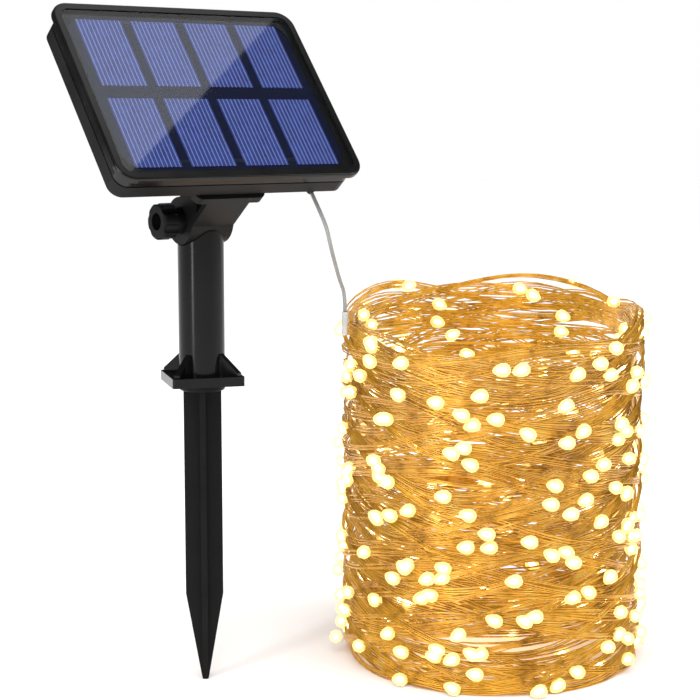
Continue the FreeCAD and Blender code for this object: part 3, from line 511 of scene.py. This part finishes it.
def make_strands(line, dice):
    """Enamelled wires that open and close along the cord and cross each other."""
    along = np.concatenate([[0], np.cumsum(np.linalg.norm(np.diff(line, axis=0), axis=1))])
    out = outward_of(line)
    ends = np.clip(np.minimum(along, along[-1] - along) / 0.02, 0, 1)
    upward = np.array([0, 0, 1.0])
    all_points = []
    all_faces = []
    total = 0
    for strand in range(STRANDS):
        phase = dice.uniform(0, 2 * math.pi)
        pitch = dice.uniform(0.16, 0.22)
        slow = np.sin(2 * math.pi * along / pitch + phase)
        fast = np.sin(2 * math.pi * along / (0.31 * pitch) + 2 * phase)
        rise = ((strand - (STRANDS - 1) / 2) * 0.52 + 0.5 * slow + 0.15 * fast) * MM * ends
        proud = (0.35 * np.cos(2 * math.pi * along / pitch + phase) + 0.1 * fast) * MM * ends
        wire = line + rise[:, None] * upward + proud[:, None] * out
        wire[:, 2] = np.maximum(wire[:, 2], FLOOR + 0.3 * MM)
        points, faces = tube_parts(wire, out, WIRE_RADIUS, WIRE_SIDES, total)
        all_points.append(points)
        all_faces.extend(faces)
        total += len(points)
    return mesh_object("string_wires", np.concatenate(all_points), all_faces, [wire_material()])


def drop_profile(long, wide, rings):
    """Half outline of a drop: blunt at one end, drawn out at the other."""
    outline = []
    for i in range(1, rings):
        turn = math.pi * i / rings
        outline.append((long * math.cos(turn), wide * math.sin(turn) * (1 - 0.28 * math.cos(turn))))
    return outline


def drops(name, places, long, wide, rings, sides, material):
    """Many drops in one mesh, each lying along its own direction."""
    profile = drop_profile(long, wide, rings)
    all_points = []
    all_faces = []
    for centre, ahead, out in places:
        first = len(all_points)
        other = np.cross(ahead, out)
        all_points.append(centre + ahead * long)
        for forward, reach in profile:
            for j in range(sides):
                turn = 2 * math.pi * j / sides
                across = out * math.cos(turn) + other * math.sin(turn)
                all_points.append(centre + ahead * forward + across * reach)
        all_points.append(centre - ahead * long)
        last = len(all_points) - 1
        for j in range(sides):
            after = (j + 1) % sides
            all_faces.append((first, first + 1 + j, first + 1 + after))
            for ring in range(len(profile) - 1):
                low = first + 1 + ring * sides
                high = low + sides
                all_faces.append((low + j, high + j, high + after, low + after))
            tail = first + 1 + (len(profile) - 1) * sides
            all_faces.append((last, tail + after, tail + j))
    return mesh_object(name, np.array(all_points), all_faces, [material])


def lamp_places(line, dice):
    """A lamp each LAMP_SPACING of string, on the side of its layer that shows."""
    along = np.concatenate([[0], np.cumsum(np.linalg.norm(np.diff(line, axis=0), axis=1))])
    ahead = unit(np.gradient(line, axis=0))
    out = outward_of(line)
    places = []
    at = 0.06
    while at < along[-1] - 0.06:
        i = int(np.searchsorted(along, at))
        layer = LAYERS * at / along[-1]
        side = -1.0 if layer > 2 else 1.0
        proud = (1.9 if layer < 1 else 3.4 if layer < 2 else 2.2) * MM
        way = ahead[i] + 0.5 * dice.uniform(-1, 1) * np.array([0, 0, 1.0])
        way = way / np.linalg.norm(way)
        across = out[i] - way * float(out[i] @ way)
        across = across / np.linalg.norm(across)
        centre = line[i] + side * out[i] * proud
        centre[2] = max(centre[2], FLOOR + 2.4 * MM)
        places.append((centre, way, across))
        at += LAMP_SPACING * dice.uniform(0.9, 1.1)
    return places


def make_string():
    dice = random.Random(SEED)
    line = line_of(string_route(dice), STEPS_PER_POINT)
    wires = make_strands(line, dice)
    places = lamp_places(line, dice)
    cores = drops("lamp_cores", places, 1.9 * MM, 1.2 * MM, 5, 6, lamp_core_material())
    shells = drops("lamp_shells", places, 3.4 * MM, 2.6 * MM, 6, 8, lamp_shell_material())
    for piece in (wires, cores, shells):
        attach(piece, "post")
    wires.visible_glossy = False
    for lamp in (cores, shells):
        lamp.visible_diffuse = False
        lamp.visible_glossy = False
    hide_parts("string_coil")
    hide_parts("led_beads")
    length = float(np.sum(np.linalg.norm(np.diff(line, axis=0), axis=1)))
    print("string length on its route, m:", round(length, 2), "lamps:", len(places))


# ---- stage ----


def make_floor():
    mesh = bpy.data.meshes.new("floor")
    half = 4.0
    corners = [(-half, -half, FLOOR), (half, -half, FLOOR), (half, half, FLOOR), (-half, half, FLOOR)]
    mesh.from_pydata(corners, [], [(0, 1, 2, 3)])
    floor = bpy.data.objects.new("floor", mesh)
    bpy.context.collection.objects.link(floor)
    material, tree = new_material("floor_white")
    shader = shader_of(tree)
    shader.inputs["Base Color"].default_value = (0.93, 0.93, 0.93, 1)
    shader.inputs["Roughness"].default_value = 0.8
    mesh.materials.append(material)


def aim(thing, target):
    way = Vector(target) - thing.location
    thing.rotation_euler = way.to_track_quat("-Z", "Y").to_euler()


def area_light(name, place, target, width, height, power, colour=(1, 1, 1)):
    data = bpy.data.lights.new(name, "AREA")
    data.shape = "RECTANGLE"
    data.size = width
    data.size_y = height
    data.energy = power
    data.color = colour
    light = bpy.data.objects.new(name, data)
    light.location = place
    bpy.context.collection.objects.link(light)
    aim(light, target)
    return light


def sun_light(place, target):
    """An even soft light over the whole floor, which plastics don't mirror."""
    data = bpy.data.lights.new("sun", "SUN")
    data.energy = 3.1
    data.angle = math.radians(70)
    light = bpy.data.objects.new("sun", data)
    light.location = place
    bpy.context.collection.objects.link(light)
    aim(light, target)
    light.visible_glossy = False


def glow_light(height, power):
    """The warm glow that the lamps give the inside of the coil."""
    data = bpy.data.lights.new("glow", "POINT")
    data.energy = power
    data.color = (1.0, 0.6, 0.2)
    data.shadow_soft_size = 0.02
    light = bpy.data.objects.new("glow", data)
    light.location = (COIL_MIDDLE.x, COIL_MIDDLE.y, COIL_LOW.z + height)
    light.visible_glossy = False
    bpy.context.collection.objects.link(light)


def make_lights():
    middle = (0.06, -0.02, 0.02)
    area_light("key", (-0.9, -1.1, 1.1), middle, 0.35, 0.9, 5)
    area_light("fill", (1.2, -1.0, 0.7), middle, 0.5, 1.0, 4)
    area_light("strip_left", (-1.0, -0.3, 0.3), middle, 0.12, 1.2, 5)
    area_light("back", (0.3, 1.2, 1.0), middle, 1.0, 0.8, 4)
    sun_light((-0.3, -0.8, 2), middle)
    # The card that the glass mirrors over the upper left half of the panel.
    card = area_light("card", (0.406, -0.054, 1.042), middle, 0.8, 0.4, 0.9)
    card.rotation_euler = (math.radians(31.7), math.radians(12.7), math.radians(53.7))
    for height, power in ((0.03, 0.03), (0.07, 0.03)):
        glow_light(height, power)
    world = bpy.data.worlds.new("studio")
    bpy.context.scene.world = world
    world.use_nodes = True
    tree = world.node_tree
    sky = tree.nodes["Background"]
    sky.inputs["Color"].default_value = (1, 1, 1, 1)
    ray = tree.nodes.new("ShaderNodeLightPath")
    seen = math_node(tree, "MULTIPLY", ray.outputs["Is Camera Ray"], 0.72)
    mirrored = math_node(tree, "MULTIPLY", ray.outputs["Is Glossy Ray"], -0.22)
    level = math_node(tree, "ADD", math_node(tree, "ADD", seen, mirrored), 0.28)
    tree.links.new(level, sky.inputs["Strength"])


def make_camera():
    data = bpy.data.cameras.new("camera")
    data.sensor_width = 36
    data.lens = 88.57
    camera = bpy.data.objects.new("camera", data)
    camera.location = (-0.34092, -0.54410, 0.09844)
    camera.rotation_euler = (math.radians(90 - 7.67), 0, math.radians(-37.03))
    bpy.context.collection.objects.link(camera)
    bpy.context.scene.camera = camera
    bpy.context.scene.view_settings.view_transform = "Standard"


paint_frame()
make_lead()
make_string()
make_floor()
make_lights()
make_camera()
